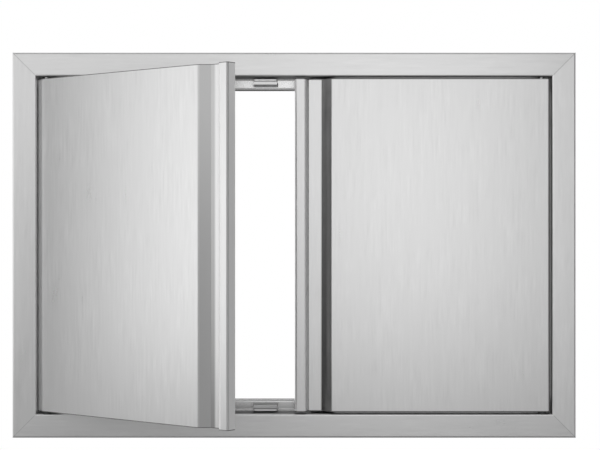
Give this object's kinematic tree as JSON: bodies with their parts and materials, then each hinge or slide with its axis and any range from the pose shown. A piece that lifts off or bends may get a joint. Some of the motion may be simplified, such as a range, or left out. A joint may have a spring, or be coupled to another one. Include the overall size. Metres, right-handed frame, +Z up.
{
  "type": "outdoor kitchen double access door",
  "caption": "Stainless double access door for an outdoor kitchen island: mitred folded face frame, flush doors on pivot pins, recessed finger channels, magnetic catches.",
  "frame": {"origin": "centre of the wall cut-out, in the plane where the frame's outer return rests on the wall", "axes": "+X to the right, +Y to the back (into the cabinet), +Z up"},
  "size_m": [0.775, 0.2693, 0.53],
  "materials": {
    "brushed_stainless": "fine linear brushing",
    "mill_stainless": "dull mill finish",
    "turned_stainless": "turned, fine rings",
    "zinc_plated_steel": "bright zinc plate",
    "black_nylon": "matt moulded",
    "magnet_ferrite": "dull ceramic",
    "grey_rubber": "matt",
    "spring_wire": "drawn wire"
  },
  "bodies": {
    "frame": {"frame_top_rail": "brushed_stainless", "frame_bottom_rail": "brushed_stainless", "frame_left_stile": "brushed_stainless", "frame_right_stile": "brushed_stainless", "frame_corner_gussets": "mill_stainless", "upper_hinge_bushes": "black_nylon", "lower_hinge_bushes": "black_nylon", "upper_catch_boxes": "brushed_stainless", "lower_catch_boxes": "brushed_stainless", "catch_magnets": "magnet_ferrite"},
    "left_door": {"left_door_skin": "brushed_stainless", "left_door_back_panel": "brushed_stainless", "left_door_top_plate": "brushed_stainless", "left_door_bottom_plate": "brushed_stainless", "left_door_stiffener": "mill_stainless", "left_door_pin_guide": "mill_stainless", "left_door_lower_pin": "turned_stainless", "left_door_thrust_washer": "black_nylon", "left_door_strikers": "zinc_plated_steel", "left_door_bumpers": "grey_rubber", "left_pin_spring": "spring_wire"},
    "left_upper_pin": {"left_upper_pin": "turned_stainless", "left_pin_collar": "turned_stainless", "left_pin_lever": "turned_stainless"},
    "right_door": {"right_door_skin": "brushed_stainless", "right_door_back_panel": "brushed_stainless", "right_door_top_plate": "brushed_stainless", "right_door_bottom_plate": "brushed_stainless", "right_door_stiffener": "mill_stainless", "right_door_pin_guide": "mill_stainless", "right_door_lower_pin": "turned_stainless", "right_door_thrust_washer": "black_nylon", "right_door_strikers": "zinc_plated_steel", "right_door_bumpers": "grey_rubber", "right_pin_spring": "spring_wire"},
    "right_upper_pin": {"right_upper_pin": "turned_stainless", "right_pin_collar": "turned_stainless", "right_pin_lever": "turned_stainless"}
  },
  "joints": [
    {"name": "left_door_hinge", "type": "hinge", "parent": "frame", "child": "left_door", "pos_m": [-0.3415, 0.002, 0], "axis": [0, 0, -1], "range_deg": [-39, 71]},
    {"name": "right_door_hinge", "type": "hinge", "parent": "frame", "child": "right_door", "pos_m": [0.3415, 0.002, 0], "axis": [0, 0, 1], "range_deg": [0, 110]},
    {"name": "left_upper_pin_slide", "type": "slide", "parent": "left_door", "child": "left_upper_pin", "axis": [0, 0, -1], "range_m": [0, 0.008], "stiffness_N_per_m": 600, "springref_m": -0.01, "deforming": ["left_pin_spring"]},
    {"name": "right_upper_pin_slide", "type": "slide", "parent": "right_door", "child": "right_upper_pin", "axis": [0, 0, -1], "range_m": [0, 0.008], "stiffness_N_per_m": 600, "springref_m": -0.01, "deforming": ["right_pin_spring"]}
  ]
}
